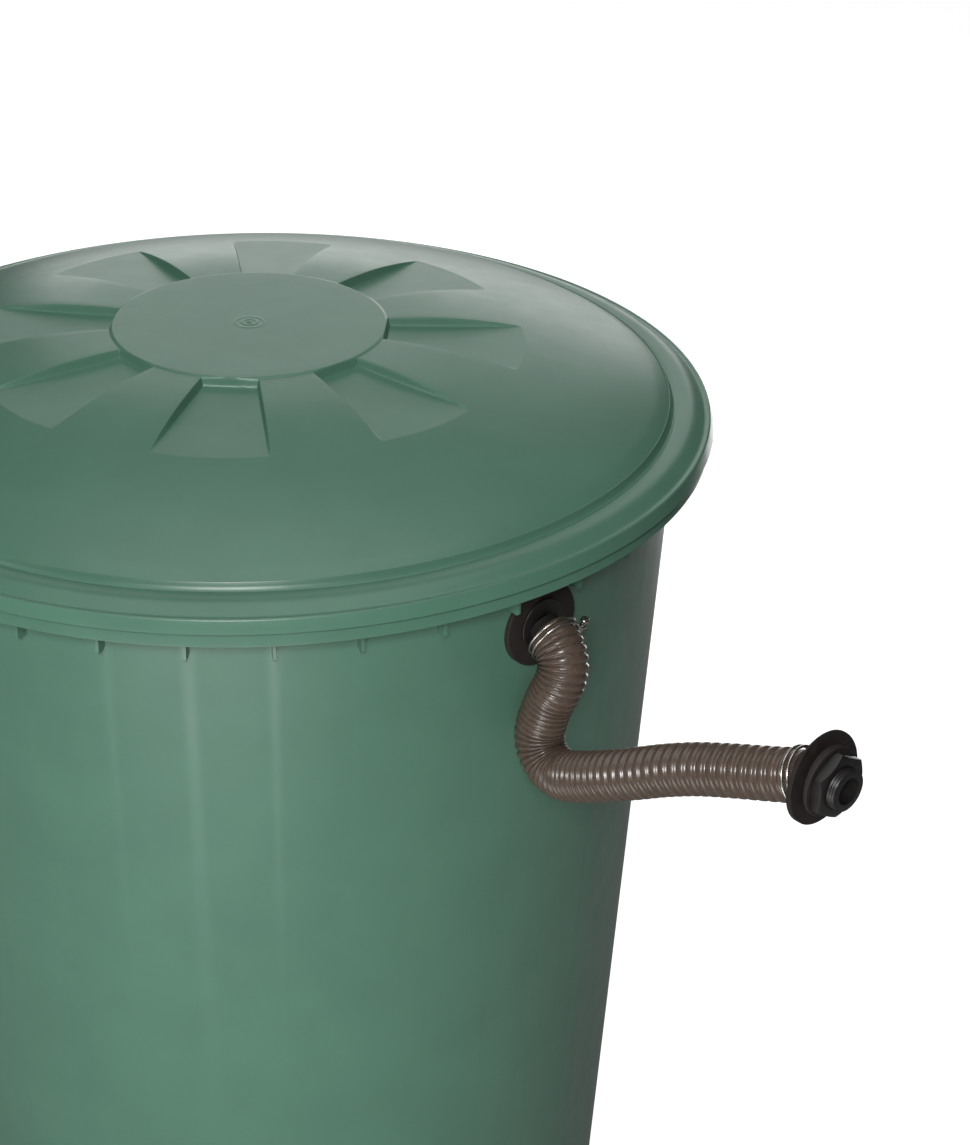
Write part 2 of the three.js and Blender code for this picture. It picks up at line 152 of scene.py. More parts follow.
class TubSizes(bpy.types.PropertyGroup):
    """Sizes of the tub."""

    height: length("Height", "Ground to the top of the rim", 850)
    mouth_radius: length("Mouth radius", "Outer face of the wall at the rim", 371.6)
    taper: FloatProperty(name="Taper", description="Radius lost for each unit of height", default=0.052)
    wall: length("Wall", "Thickness of the wall", 3.5)
    base_rise: length("Base rise", "Underside of the bottom above the ground", 14)
    rim_reach: length("Rim reach", "Wall to the lower edge of the turned-down band", 28.3)
    rim_drop: length("Rim drop", "Rim top to the lower edge of the band", 26.2)
    rib_count: IntProperty(name="Ribs", description="Number of ribs under the rim", default=36, min=0)
    rib_thickness: length("Rib thickness", "Thickness of each rib", 3)
    rib_drop: length("Rib drop", "Rim top to the foot of each rib", 50)


class LidSizes(bpy.types.PropertyGroup):
    """Sizes of the lid."""

    wall: length("Wall", "Thickness of the lid", 3)
    crown_rise: length("Crown rise", "Central disc above the top of the tub's rim", 64.2)
    disc_radius: length("Disc radius", "Flat disc in the middle", 117.6)
    dome_radius: length("Dome radius", "Edge of the dome", 364.2)
    dome_rise: length("Dome rise", "Edge of the dome above the top of the rim", 10)
    dome_curve: FloatProperty(name="Dome curve", description="Power of the dome's fall", default=1.8, min=1)
    recess_count: IntProperty(name="Recesses", description="Number of recesses round the disc", default=8, min=1)
    recess_step: length("Recess step", "Depth of each recess at the disc", 8)
    recess_length: length("Recess length", "Length of each recess", 121)
    recess_inner_width: length("Recess inner width", "Width of each recess at the disc", 47)
    recess_outer_width: length("Recess outer width", "Width of each recess at its outer end", 98)


class LinkSizes(bpy.types.PropertyGroup):
    """Sizes of the link fittings, the hose and its clamps."""

    azimuth: FloatProperty(
        name="Azimuth", description="Place round the wall", default=math.radians(45), subtype="ANGLE"
    )
    height: length("Height", "Axis of the fitting above the ground", 777.3)
    spacing: length("Spacing", "From one barrel's wall to the other's", 291.5)
    hose_radius: length("Hose radius", "Middle of the convolutions", 19.2)
    hose_length: length("Hose length", "Length along the middle line", 385)
    convolution_depth: length("Convolution depth", "Crest to groove", 2.9)
    short_pitch: length("Short pitch", "Distance between convolutions where the hose is pushed together", 4.8)
    long_pitch: length("Long pitch", "Distance between convolutions where the hose is drawn out", 9.1)
    clamp_wire: length("Clamp wire", "Radius of the clamp's wire", 1.1)


class TapSizes(bpy.types.PropertyGroup):
    """Sizes of the tap."""

    height: length("Height", "Axis of the tap above the ground", 110)
    plug_place: length("Plug place", "Wall to the axis that the lever turns on", 35)
    spout_place: length("Spout place", "Wall to the middle of the spout", 58)
    spout_drop: length("Spout drop", "Axis of the tap to the mouth of the spout", 38)
    lever_length: length("Lever length", "Axis to the tip of the lever", 34)


class Colours(bpy.types.PropertyGroup):
    """Colours of the barrel's materials."""

    green: colour("Green", "Green of the tub and the lid", "#507765")
    hose: colour("Hose", "Grey brown of the bellows hose", "#55483F")
    black: colour("Black plastic", "Nozzles and lock nuts", "#1C1A19")
    rubber: colour("Rubber", "Seals and washers", "#1D1714")
    steel: colour("Steel", "Zinc-plated wire and screws", "#C8C4BC")
    tap: colour("Tap", "Body, plug and lever of the tap", "#1B1C1D")
    floor: colour("Floor", "Studio floor", "#9C9C9B")


class StageSettings(bpy.types.PropertyGroup):
    """Camera and lights."""

    camera_place: FloatVectorProperty(
        name="Camera place", description="Where the camera stands", default=(0.2746, -1.8633, 1.6914), unit="LENGTH"
    )
    heading: FloatProperty(
        name="Heading", description="Turn to the right of +Y", default=math.radians(-2.07), subtype="ANGLE"
    )
    pitch: FloatProperty(name="Pitch", description="Below the horizon", default=math.radians(28.52), subtype="ANGLE")
    roll: FloatProperty(name="Roll", description="Turn about the view", default=math.radians(1.23), subtype="ANGLE")
    lens: FloatProperty(name="Lens", description="Focal length in millimetres", default=73.7)


# ---- Meshes ----
def fillet(profile, steps):
    """The profile's points as vectors, with each corner that gives a fillet rounded by a short curve."""
    line = []
    looped = profile[0][0] > 0
    for index, (r, z, *reach) in enumerate(profile):
        here = Vector((r, z))
        if not reach or (not looped and index in (0, len(profile) - 1)):
            line.append(here)
            continue
        back = Vector(profile[index - 1][:2]) - here
        ahead = Vector(profile[(index + 1) % len(profile)][:2]) - here
        start = here + back.normalized() * min(reach[0], 0.45 * back.length)
        end = here + ahead.normalized() * min(reach[0], 0.45 * ahead.length)
        for k in range(steps + 1):
            t = k / steps
            line.append(start.lerp(here, t).lerp(here.lerp(end, t), t))
    return line


def bridge(rings, looped=False):
    """Faces between rings of vertex numbers; a ring that repeats one number is a point."""
    pairs = list(zip(rings, rings[1:]))
    if looped:
        pairs.append((rings[-1], rings[0]))
    faces = []
    for lower, upper in pairs:
        for k in range(len(lower)):
            j = (k + 1) % len(lower)
            face = list(dict.fromkeys((lower[k], lower[j], upper[j], upper[k])))
            if len(face) > 2:
                faces.append(face)
    return faces


def turned(profile, segments=96, steps=3):
    """A solid of revolution about Z, from a profile with the material on its left."""
    points, rings = [], []
    for r, z in fillet(profile, steps):
        if r < 1e-6:
            rings.append([len(points)] * segments)
            points.append(Vector((0, 0, z)))
            continue
        rings.append(range(len(points), len(points) + segments))
        turns = (WHOLE_TURN * k / segments for k in range(segments))
        points += [Vector((r * math.cos(a), r * math.sin(a), z)) for a in turns]
    return points, bridge(rings, profile[0][0] > 0)


def prism(near, far):
    """A solid between two outlines with the same number of points."""
    count = len(near)
    faces = [list(range(count)), list(range(2 * count - 1, count - 1, -1))]
    faces += [[(k + 1) % count, k, count + k, count + (k + 1) % count] for k in range(count)]
    return near + far, faces


def placed(shape, matrix):
    points, faces = shape
    return [matrix @ p for p in points], faces


def together(shapes):
    """Several shapes as one list of points and faces."""
    points, faces = [], []
    for more_points, more_faces in shapes:
        faces += [[i + len(points) for i in face] for face in more_faces]
        points += more_points
    return points, faces


def mesh_object(name, shape):
    """A new object from a shape in millimetres."""
    points, faces = shape
    mesh = bpy.data.meshes.new(name)
    mesh.from_pydata([p * MM for p in points], [], faces)
    mesh.validate()
    piece = bpy.data.objects.new(name, mesh)
    bpy.context.scene.collection.objects.link(piece)
    return piece


def apply_modifiers(piece):
    """Turns what the modifiers show into the piece's own mesh."""
    shown = piece.evaluated_get(bpy.context.evaluated_depsgraph_get())
    mesh = bpy.data.meshes.new_from_object(shown)
    piece.modifiers.clear()
    piece.data = mesh


def combine(piece, shape, operation):
    """Joins a shape to the piece, or cuts it out of it."""
    tool = mesh_object(piece.name + "_tool", shape)
    boolean = piece.modifiers.new("combine", "BOOLEAN")
    boolean.object = tool
    boolean.operation = operation
    boolean.solver = "EXACT"
    apply_modifiers(piece)
    bpy.data.objects.remove(tool)


def bevel(piece, width_mm):
    """Takes the sharpness off the piece's edges, as a mould does."""
    edges = piece.modifiers.new("edges", "BEVEL")
    edges.width = width_mm * MM
    edges.segments = 2
    edges.limit_method = "ANGLE"
    edges.angle_limit = SMOOTH_UP_TO
    apply_modifiers(piece)


def finish_piece(piece, material, body, slot, *nodes):
    """Gives a piece its material and its place in the frame."""
    piece.data.materials.clear()
    piece.data.materials.append(material)
    piece.data.shade_smooth()
    piece.data.set_sharp_from_angle(angle=SMOOTH_UP_TO)
    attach(piece, body)
    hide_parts(*nodes)
    return piece


# ---- Materials ----
def linear(code):
    """An sRGB hex value as linear RGBA."""
    parts = (int(code[i : i + 2], 16) / 255 for i in (1, 3, 5))
    return [c / 12.92 if c <= 0.04045 else ((c + 0.055) / 1.055) ** 2.4 for c in parts] + [1]


def shaded(rgba, share):
    return [c * share for c in rgba[:3]] + [1]


def add_node(tree, kind, settings=None, inputs=None):
    """Adds a node, with its settings, and its inputs as values or as links from sockets."""
    node = tree.nodes.new(kind)
    for name, value in (settings or {}).items():
        setattr(node, name, value)
    for name, value in (inputs or {}).items():
        if isinstance(value, bpy.types.NodeSocket):
            tree.links.new(value, node.inputs[name])
        else:
            node.inputs[name].default_value = value
    return node


def new_material(name, surface):
    """A material with a Principled shader that takes the given values, and its node tree and object coordinates."""
    material = bpy.data.materials.new(name)
    material.use_nodes = True
    tree = material.node_tree
    tree.nodes.clear()
    shader = add_node(tree, "ShaderNodeBsdfPrincipled", inputs=surface)
    add_node(tree, "ShaderNodeOutputMaterial", inputs={"Surface": shader.outputs["BSDF"]})
    place = add_node(tree, "ShaderNodeTexCoord").outputs["Object"]
    return material, tree, shader, place


def cells_per_metre(width_mm):
    """The texture scale at which a noise's blobs are about this wide."""
    return 1 / (width_mm * MM)


def grain(tree, place, width_mm, detail, strength, depth_mm, under=None):
    """The normal of a surface with bumps of one width and depth, laid over another normal if one is given."""
    noise = add_node(
        tree,
        "ShaderNodeTexNoise",
        inputs={"Vector": place, "Scale": cells_per_metre(width_mm), "Detail": detail},
    )
    inputs = {"Height": noise.outputs["Fac"], "Strength": strength, "Distance": depth_mm * MM}
    if under is not None:
        inputs["Normal"] = under
    return add_node(tree, "ShaderNodeBump", inputs=inputs).outputs["Normal"]


def moulded_polypropylene(green):
    """Injection-moulded polypropylene: waxy green, with a broad soft gloss, flow clouds and a fine eroded grain."""
    material, tree, shader, place = new_material(
        "moulded_green_polypropylene", {"IOR": 1.49, "Specular IOR Level": 0.5}
    )
    clouds = add_node(
        tree,
        "ShaderNodeTexNoise",
        inputs={"Vector": place, "Scale": cells_per_metre(70), "Detail": 4.0, "Roughness": 0.6},
    )
    tone = add_node(
        tree,
        "ShaderNodeMapRange",
        inputs={
            "Value": clouds.outputs["Fac"],
            "From Min": 0.3,
            "From Max": 0.7,
            "To Min": 0.0,
            "To Max": 1.0,
        },
    )
    pigment = add_node(
        tree,
        "ShaderNodeMix",
        {"data_type": "RGBA"},
        {"Factor": tone.outputs["Result"], "A": shaded(green, 0.95), "B": shaded(green, 1.05)},
    )
    tree.links.new(pigment.outputs["Result"], shader.inputs["Base Color"])
    # Handling leaves patches about 25 mm wide where the gloss is a little duller.
    rubbed = add_node(
        tree,
        "ShaderNodeTexNoise",
        inputs={"Vector": place, "Scale": cells_per_metre(25), "Detail": 6.0, "Roughness": 0.7},
    )
    gloss = add_node(
        tree,
        "ShaderNodeMapRange",
        inputs={
            "Value": rubbed.outputs["Fac"],
            "From Min": 0.3,
            "From Max": 0.7,
            "To Min": 0.31,
            "To Max": 0.37,
        },
    )
    tree.links.new(gloss.outputs["Result"], shader.inputs["Roughness"])
    # The eroded grain is 0.3 mm wide; it is drawn at 1.2 mm so that it shows.
    eroded = grain(tree, place, 1.2, 2.0, 0.25, 0.05)
    # Shrinkage behind the mould face leaves waves about 40 mm long.
    uneven = grain(tree, place, 40, 1.0, 0.3, 0.4, under=eroded)
    tree.links.new(uneven, shader.inputs["Normal"])
    return material


def extruded_bellows_plastic(brown):
    """Extruded and corrugated polyethylene: grey brown, with a wet gloss, light dust and a finely uneven skin."""
    material, tree, shader, place = new_material("extruded_brown_polyethylene", {"IOR": 1.5})
    dust = add_node(
        tree,
        "ShaderNodeTexNoise",
        inputs={"Vector": place, "Scale": cells_per_metre(6), "Detail": 5.0, "Roughness": 0.65},
    )
    shade = add_node(
        tree,
        "ShaderNodeMapRange",
        inputs={"Value": dust.outputs["Fac"], "From Min": 0.35, "From Max": 0.7},
    )
    body = add_node(
        tree,
        "ShaderNodeMix",
        {"data_type": "RGBA"},
        {"Factor": shade.outputs["Result"], "A": shaded(brown, 0.88), "B": shaded(brown, 1.12)},
    )
    tree.links.new(body.outputs["Result"], shader.inputs["Base Color"])
    gloss = add_node(
        tree,
        "ShaderNodeMapRange",
        inputs={"Value": dust.outputs["Fac"], "From Min": 0.3, "From Max": 0.7, "To Min": 0.2, "To Max": 0.3},
    )
    tree.links.new(gloss.outputs["Result"], shader.inputs["Roughness"])
    tree.links.new(grain(tree, place, 1.5, 2.0, 0.2, 0.06), shader.inputs["Normal"])
    return material


def dark_moulding(name, tint, grain_mm, duller, glossier, depth_mm):
    """A dark moulded plastic or rubber, whose eroded grain breaks up the gloss and whose tone clouds a little."""
    material, tree, shader, place = new_material(name, {"IOR": 1.5})
    bloom = add_node(
        tree,
        "ShaderNodeTexNoise",
        inputs={"Vector": place, "Scale": cells_per_metre(9), "Detail": 5.0, "Roughness": 0.6},
    )
    tone = add_node(
        tree,
        "ShaderNodeMix",
        {"data_type": "RGBA"},
        {"Factor": bloom.outputs["Fac"], "A": shaded(tint, 0.75), "B": shaded(tint, 1.3)},
    )
    tree.links.new(tone.outputs["Result"], shader.inputs["Base Color"])
    gloss = add_node(
        tree,
        "ShaderNodeMapRange",
        inputs={
            "Value": bloom.outputs["Fac"],
            "From Min": 0.3,
            "From Max": 0.7,
            "To Min": glossier,
            "To Max": duller,
        },
    )
    tree.links.new(gloss.outputs["Result"], shader.inputs["Roughness"])
    tree.links.new(grain(tree, place, grain_mm, 3.0, 0.4, depth_mm), shader.inputs["Normal"])
    return material


def zinc_plated_steel(grey):
    """Drawn steel wire with bright zinc plating: a silver gloss with faint spangle and dull flecks."""
    material, tree, shader, place = new_material("zinc_plated_drawn_steel", {"Metallic": 1.0})
    spangle = add_node(
        tree,
        "ShaderNodeTexVoronoi",
        inputs={"Vector": place, "Scale": cells_per_metre(0.9)},
    )
    tone = add_node(
        tree,
        "ShaderNodeMix",
        {"data_type": "RGBA"},
        {"Factor": spangle.outputs["Distance"], "A": grey, "B": shaded(grey, 0.8)},
    )
    tree.links.new(tone.outputs["Result"], shader.inputs["Base Color"])
    gloss = add_node(
        tree,
        "ShaderNodeMapRange",
        inputs={"Value": spangle.outputs["Distance"], "To Min": 0.2, "To Max": 0.38},
    )
    tree.links.new(gloss.outputs["Result"], shader.inputs["Roughness"])
    # Drawing marks are 0.05 mm apart; they are drawn at 0.4 mm so that they show.
    tree.links.new(grain(tree, place, 0.4, 2.0, 0.3, 0.02), shader.inputs["Normal"])
    return material


def materials():
    """The finished materials by name, made once."""
    colours = bpy.context.scene.barrel_colours
    makers = {
        "moulded_green_polypropylene": lambda: moulded_polypropylene(linear(colours.green)),
        "extruded_brown_polyethylene": lambda: extruded_bellows_plastic(linear(colours.hose)),
        # Glass-filled black polypropylene: satin, with a coarse eroded face.
        "moulded_black_polypropylene": lambda: dark_moulding(
            "moulded_black_polypropylene", linear(colours.black), 1.2, 0.5, 0.38, 0.06
        ),
        # Pressed rubber: almost no gloss, with a dusty bloom.
        "pressed_black_rubber": lambda: dark_moulding(
            "pressed_black_rubber", linear(colours.rubber), 1.6, 0.8, 0.6, 0.1
        ),
        # Moulded acetal: smooth and fairly glossy.
        "moulded_black_acetal": lambda: dark_moulding(
            "moulded_black_acetal", linear(colours.tap), 2.0, 0.38, 0.26, 0.02
        ),
        "zinc_plated_drawn_steel": lambda: zinc_plated_steel(linear(colours.steel)),
    }
    return {name: bpy.data.materials.get(name) or make() for name, make in makers.items()}


# ---- Places on the wall ----
def millimetres(metres):
    return metres / MM


def wall_radius(z):
    """The radius, mm, of the wall's outer face at a height in mm."""
    tub = bpy.context.scene.tub_sizes
    return millimetres(tub.mouth_radius) - tub.taper * (millimetres(tub.height) - z)


def wall_frame(azimuth, height, outwards=0, facing=0):
    """A frame in mm whose +X points out of the wall."""
    turn = azimuth - math.pi / 2
    radius = wall_radius(height) + outwards
    place = Matrix.Translation((radius * math.cos(turn), radius * math.sin(turn), height))
    return place @ Matrix.Rotation(turn + facing, 4, "Z")


ALONG_X = Matrix.Rotation(math.pi / 2, 4, "Y")


def rod(radius, low, high, segments=64, edge=0.0):
    return turned([(0, low), (radius, low, edge), (radius, high, edge), (0, high)], segments)


# ---- Tub ----
def tub_profile(tub):
    top = millimetres(tub.height)
    mouth = millimetres(tub.mouth_radius)
    wall = millimetres(tub.wall)
    rise = millimetres(tub.base_rise)
    rim = mouth + millimetres(tub.rim_reach)
    band_foot = top - millimetres(tub.rim_drop)
    foot = wall_radius(0)
    return [
        (0, rise),
        (foot - 22, rise, 6),
        (foot - 16, 0, 3),
        (foot - 3, 0, 3),
        (wall_radius(5), 5, 3),
        (mouth, top - wall, 2),
        (mouth + 10.9, top - wall, 2),
        (mouth + 19.8, top - 11, 3),
        (rim - wall, band_foot, 1),
        (rim, band_foot, 1),
        (mouth + 23.9, top - 8.5, 1.5),
        (mouth + 22.4, top - 6.5, 1.5),
        (mouth + 12.4, top, 2.5),
        (mouth - wall, top, 1.2),
        (wall_radius(rise + 30) - wall, rise + 30, 12),
        (foot - 24, rise + wall, 8),
        (0, rise + wall),
    ]


def rib(tub, azimuth):
    """A thin upright plate between the wall and the turned-down rim, thinner at its outer edge."""
    top = millimetres(tub.height)
    low = top - millimetres(tub.rib_drop)
    outer = millimetres(tub.mouth_radius) + 9.5
    half = millimetres(tub.rib_thickness) / 2
    outline = [
        (wall_radius(low) - 1.5, low, half),
        (outer - 1.5, low, half - 0.3),
        (outer, low + 1.5, half - 0.3),
        (outer, top - 3, half - 0.3),
        (wall_radius(top) - 1.5, top - 3, half),
    ]
    near = [Vector((x, -y, z)) for x, z, y in outline]
    far = [Vector((x, y, z)) for x, z, y in outline]
    return placed(prism(near, far), Matrix.Rotation(azimuth - math.pi / 2, 4, "Z"))


class BARREL_OT_tub(bpy.types.Operator):
    """Builds the tub with its turned-down rim, its ribs and the two holes in its wall"""

    bl_idname = "barrel.tub"
    bl_label = "Tub"

    def execute(self, context):
        tub = context.scene.tub_sizes
        link = context.scene.link_sizes
        tap = context.scene.tap_sizes
        piece = mesh_object("tub_moulding", turned(tub_profile(tub), 288, 4))
        ribs = [rib(tub, WHOLE_TURN * k / tub.rib_count) for k in range(tub.rib_count)]
        combine(piece, together(ribs), "UNION")
        holes = []
        for azimuth, height, thread in ((link.azimuth, link.height, LINK_THREAD), (0, tap.height, TAP_THREAD)):
            drill = placed(rod(thread + HOLE_CLEARANCE, -20, 20), ALONG_X)
            holes.append(placed(drill, wall_frame(azimuth, millimetres(height))))
        combine(piece, together(holes), "DIFFERENCE")
        finish_piece(piece, materials()["moulded_green_polypropylene"], "barrel", "green_pp", "tub")
        return {"FINISHED"}


# ---- Lid ----
def smooth_step(value, low, high):
    t = min(max((value - low) / (high - low), 0), 1)
    return t * t * (3 - 2 * t)


def dome_height(lid, tub, r):
    """Height, mm, of the lid's outer face without its recesses."""
    top = millimetres(tub.height)
    disc = millimetres(lid.disc_radius)
    share = max(r - disc, 0) / (millimetres(lid.dome_radius) - disc)
    crown = millimetres(lid.crown_rise)
    return top + crown - (crown - millimetres(lid.dome_rise)) * share**lid.dome_curve


def recess_slope(lid):
    return millimetres(lid.recess_outer_width - lid.recess_inner_width) / 2 / millimetres(lid.recess_length)


def recess_half_width(lid, x):
    return millimetres(lid.recess_inner_width) / 2 + recess_slope(lid) * (x - millimetres(lid.disc_radius))


def recess_side(lid, r):
    """Angle from the middle of a recess to its side, at a radius."""
    slope = recess_slope(lid)
    start = recess_half_width(lid, 0)
    return math.atan(slope) + math.asin(start * math.cos(math.atan(slope)) / r)


def lid_surface(lid, tub, r, angle, grow=0.0):
    """Height, mm, of the lid's face at a radius and an angle from the middle of the nearest recess."""
    disc = millimetres(lid.disc_radius)
    # A soft shoulder 1.1 mm deep round the disc, which fades out down the dome.
    shoulder = 1.1 * smooth_step(r, disc - 1, disc + 2.5) * (1 - smooth_step(r, disc + 2.5, disc + 70))
    dome = dome_height(lid, tub, r) - shoulder
    x, y = r * math.cos(angle), abs(r * math.sin(angle))
    reach = disc + millimetres(lid.recess_length)
    floor_in = millimetres(tub.height + lid.crown_rise - lid.recess_step)
    fall = (floor_in - dome_height(lid, tub, reach)) / millimetres(lid.recess_length)
    floor = floor_in - fall * (x - disc)
    inside = min((recess_half_width(lid, x) - y) * math.cos(math.atan(recess_slope(lid))), x - disc) + grow
    return dome + (min(floor, dome) - dome) * smooth_step(inside, -0.5, 1.9)


def lid_columns(lid, r):
    """Angles round the lid at a radius, close together along the sides of each recess."""
    side = recess_side(lid, max(r, 100))
    sector = WHOLE_TURN / lid.recess_count / 2
    steps = (-0.8, -0.4, 0, 0.35, 0.7, 1.05, 1.4, 1.8, 2.4, 3.4)  # mm inside the side's top edge
    near_side = [side - s / max(r, 100) for s in reversed(steps)]
    half = [near_side[0] * k / 6 for k in range(1, 6)] + near_side
    half += [side + (sector - side) * (k + 0.4) / 5.4 for k in range(1, 5)]
    sector_columns = [-a for a in reversed(half)] + [0] + half + [sector]
    middles = [WHOLE_TURN * k / lid.recess_count for k in range(lid.recess_count)]
    return [(middle, a) for middle in middles for a in sector_columns]


def lid_ring(lid, r, height):
    """One ring of points at a radius; height takes the angle from the middle of a recess."""
    ring = []
    for middle, a in lid_columns(lid, r):
        turn = middle + a - math.pi / 2
        ring.append(Vector((r * math.cos(turn), r * math.sin(turn), height(a))))
    return ring


def spread(low, high, step):
    count = max(1, round((high - low) / step))
    return [low + (high - low) * k / count for k in range(count)]


def gate_mark(r):
    """Height, mm, of the moulding's gate mark: a nub in a ring in a faint outer ring."""
    nub = 0.8 * (1 - smooth_step(r, 1.2, 2.6))
    inner = 0.5 * math.exp(-(((r - 6.2) / 1.1) ** 2))
    outer = 0.35 * math.exp(-(((r - 12.2) / 1.0) ** 2))
    return nub + inner + outer


def lid_edge(lid, tub):
    """The lid's edge from outside the dome, round the skirt, to inside the ring that stands in the tub's mouth."""
    top = millimetres(tub.height)
    mouth = millimetres(tub.mouth_radius)
    rim = mouth + millimetres(tub.rim_reach)
    wall = millimetres(lid.wall)
    rest = top + wall + GAP
    dome = millimetres(lid.dome_radius)
    skirt = rim + 3.6
    plug = mouth - millimetres(tub.wall) - 1.5
    return [
        (dome, top + 10, 1.6),
        (mouth - 5.6, top + 5.2, 1.4),
        (mouth - 3.6, rest - 0.7, 1),
        (mouth - 1.4, rest + 0.3, 1.2),
        (mouth + 9, rest + 0.4, 3),
        (mouth + 13.6, rest - 0.6, 3),
        (mouth + 18.4, top + 0.2, 2.5),
        (rim - 4.3, top - 3.3, 2),
        (rim - 1.4, top - 2.2, 1.1),
        (rim + 0.2, top - 2.9, 1.1),
        (skirt, top - 13.6, 0.8),
        (skirt - wall, top - 13.6, 0.8),
        (rim - 2.1, top - 6.8, 1),
        (rim - 5.1, top - 6, 1),
        (mouth + 17.4, top - 2.6, 1),
        (mouth + 12, top + GAP, 1),
        (plug, top + GAP, 0.8),
        (plug, top - 12, 0.8),
        (plug - wall, top - 12, 0.8),
        (plug - wall, top + 4, 1),
    ]


def lid_shape(lid, tub):
    disc = millimetres(lid.disc_radius)
    reach = disc + millimetres(lid.recess_length)
    dome = millimetres(lid.dome_radius)
    wall = millimetres(lid.wall)
    marks = spread(1, 15, 0.7)
    close = spread(disc - 1.2, disc + 7, 0.45)
    outside = marks + spread(15, disc - 1.2, 18) + close + spread(disc + 7, reach - 12, 3.6)
    outside += spread(reach - 12, reach + 10, 0.9) + spread(reach + 10, dome - 4, 5)
    inside = spread(20, disc - 5, 24) + spread(disc - 5, disc + 5, 1) + spread(disc + 5, reach + 8, 6)
    inside += spread(reach + 8, dome - 8, 12)
    top_middle = millimetres(tub.height + lid.crown_rise)
    rings = [[Vector((0, 0, top_middle + gate_mark(0)))]]
    rings += [lid_ring(lid, r, lambda a, r=r: lid_surface(lid, tub, r, a) + gate_mark(r)) for r in outside]
    edge = fillet([(0, 0)] + lid_edge(lid, tub) + [(0, 0)], 3)[1:-1]
    rings += [lid_ring(lid, r, lambda a, z=z: z) for r, z in edge]
    rings += [lid_ring(lid, r, lambda a, r=r: lid_surface(lid, tub, r, a, wall) - wall) for r in reversed(inside)]
    rings += [[Vector((0, 0, top_middle - wall))]]
    points, numbers = [], []
    columns = len(lid_columns(lid, disc))
    for ring in reversed(rings):
        if len(ring) == 1:
            numbers.append([len(points)] * columns)
        else:
            numbers.append(range(len(points), len(points) + columns))
        points += ring
    return points, bridge(numbers)


class BARREL_OT_lid(bpy.types.Operator):
    """Builds the domed lid with its recesses, its stepped edge, its skirt and the ring under it"""

    bl_idname = "barrel.lid"
    bl_label = "Lid"

    def execute(self, context):
        piece = mesh_object("lid_moulding", lid_shape(context.scene.lid_sizes, context.scene.tub_sizes))
        finish_piece(piece, materials()["moulded_green_polypropylene"], "lid", "green_pp", "lid")
        return {"FINISHED"}


# ---- Through-wall fastenings ----
def washer_profile(bore, radius, low, high, edge):
    return [(bore, low, edge), (radius, low, edge), (radius, high, edge), (bore, high, edge)]


def pressed_to_wall(shape, height, offset, is_back):
    """Moves the back of a shape that stands in a wall frame on to the wall's outer face, grown by an offset."""
    points, faces = shape
    radius = wall_radius(height)
    pressed = []
    for p in points:
        wall = math.sqrt(wall_radius(height + p.z) ** 2 - p.y**2) - radius + offset
        pressed.append(Vector((wall, p.y, p.z)) if is_back(p.x) else p)
    return pressed, faces


def add_fastening(prefix, place, height, thread, seal, seal_thickness, washer, nut):
    """The seal outside the wall, and the washer and the hexagonal lock nut inside it."""
    wall = millimetres(bpy.context.scene.tub_sizes.wall)
    bore = thread + GAP
    rubber = materials()["pressed_black_rubber"]
    shape = placed(turned(washer_profile(bore, seal, -3, seal_thickness + GAP, 0.9), 96), ALONG_X)
    outer = mesh_object(prefix + "_seal_ring", pressed_to_wall(shape, height, GAP, lambda x: x < -1))
    outer.data.transform(in_metres(place))
    finish_piece(outer, rubber, "barrel", "rubber", prefix + "_seal")
    face = -wall - GAP - WASHER_THICKNESS
    shape = placed(turned(washer_profile(bore, washer, face, 0, 0.8), 96), ALONG_X)
    inner = mesh_object(prefix + "_washer_ring", pressed_to_wall(shape, height, -wall - GAP, lambda x: x > -2))
    inner.data.transform(in_metres(place))
    finish_piece(inner, rubber, "barrel", "rubber", prefix + "_inner_washer")
    back = face - GAP - NUT_THICKNESS
    nut_piece = mesh_object(prefix + "_nut_ring", placed(rod(nut, back, face - GAP, 6), ALONG_X))
    chamfer = [
        (0, back),
        (nut * 0.87, back),
        (nut, back + 2.2),
        (nut, face - GAP - 2.2),
        (nut * 0.87, face - GAP),
        (0, face - GAP),
    ]
    combine(nut_piece, placed(turned(chamfer, 96), ALONG_X), "INTERSECT")
    combine(nut_piece, placed(rod(bore, back - 1, face + 1), ALONG_X), "DIFFERENCE")
    bevel(nut_piece, 0.4)
    nut_piece.data.transform(in_metres(place))
    plastic = materials()["moulded_black_polypropylene"]
    finish_piece(nut_piece, plastic, "barrel", "black_pp", prefix + "_lock_nut")


def in_metres(place):
    """A placing matrix in mm as one in metres."""
    return Matrix.Translation(place.to_translation() * MM) @ place.to_3x3().to_4x4()


def nozzle_piece(name):
    """The threaded tail, its flange and the spigot that the hose is pushed on to, with the waterway through them."""
    tilt = Matrix.Rotation(SPIGOT_TILT, 4, "Y") @ ALONG_X
    thread = [(0, -24)]
    for k in range(8):
        thread += [(LINK_THREAD, -23.4 + 2.2 * k, 0.3), (LINK_THREAD - 1, -22.3 + 2.2 * k, 0.3)]
    thread += [(LINK_THREAD, -5.5, 0.2), (LINK_THREAD, 4.6), (0, 4.6)]
    piece = mesh_object(name, placed(turned(thread, 64, 2), ALONG_X))
    combine(piece, placed(rod(22, 3.6, 5.6, 96, 0.7), ALONG_X), "UNION")
    barb = [(0, 5), (14.4, 5), (14.4, 12), (14.7, 13, 0.4), (14.1, 17, 0.4), (13.6, 21.2, 0.8), (0, 21.2)]
    combine(piece, placed(turned(barb, 64), tilt), "UNION")
    combine(piece, placed(rod(LINK_BORE, -25, 1), ALONG_X), "DIFFERENCE")
    combine(piece, placed(rod(LINK_BORE, -1, 23), tilt), "DIFFERENCE")
    return piece


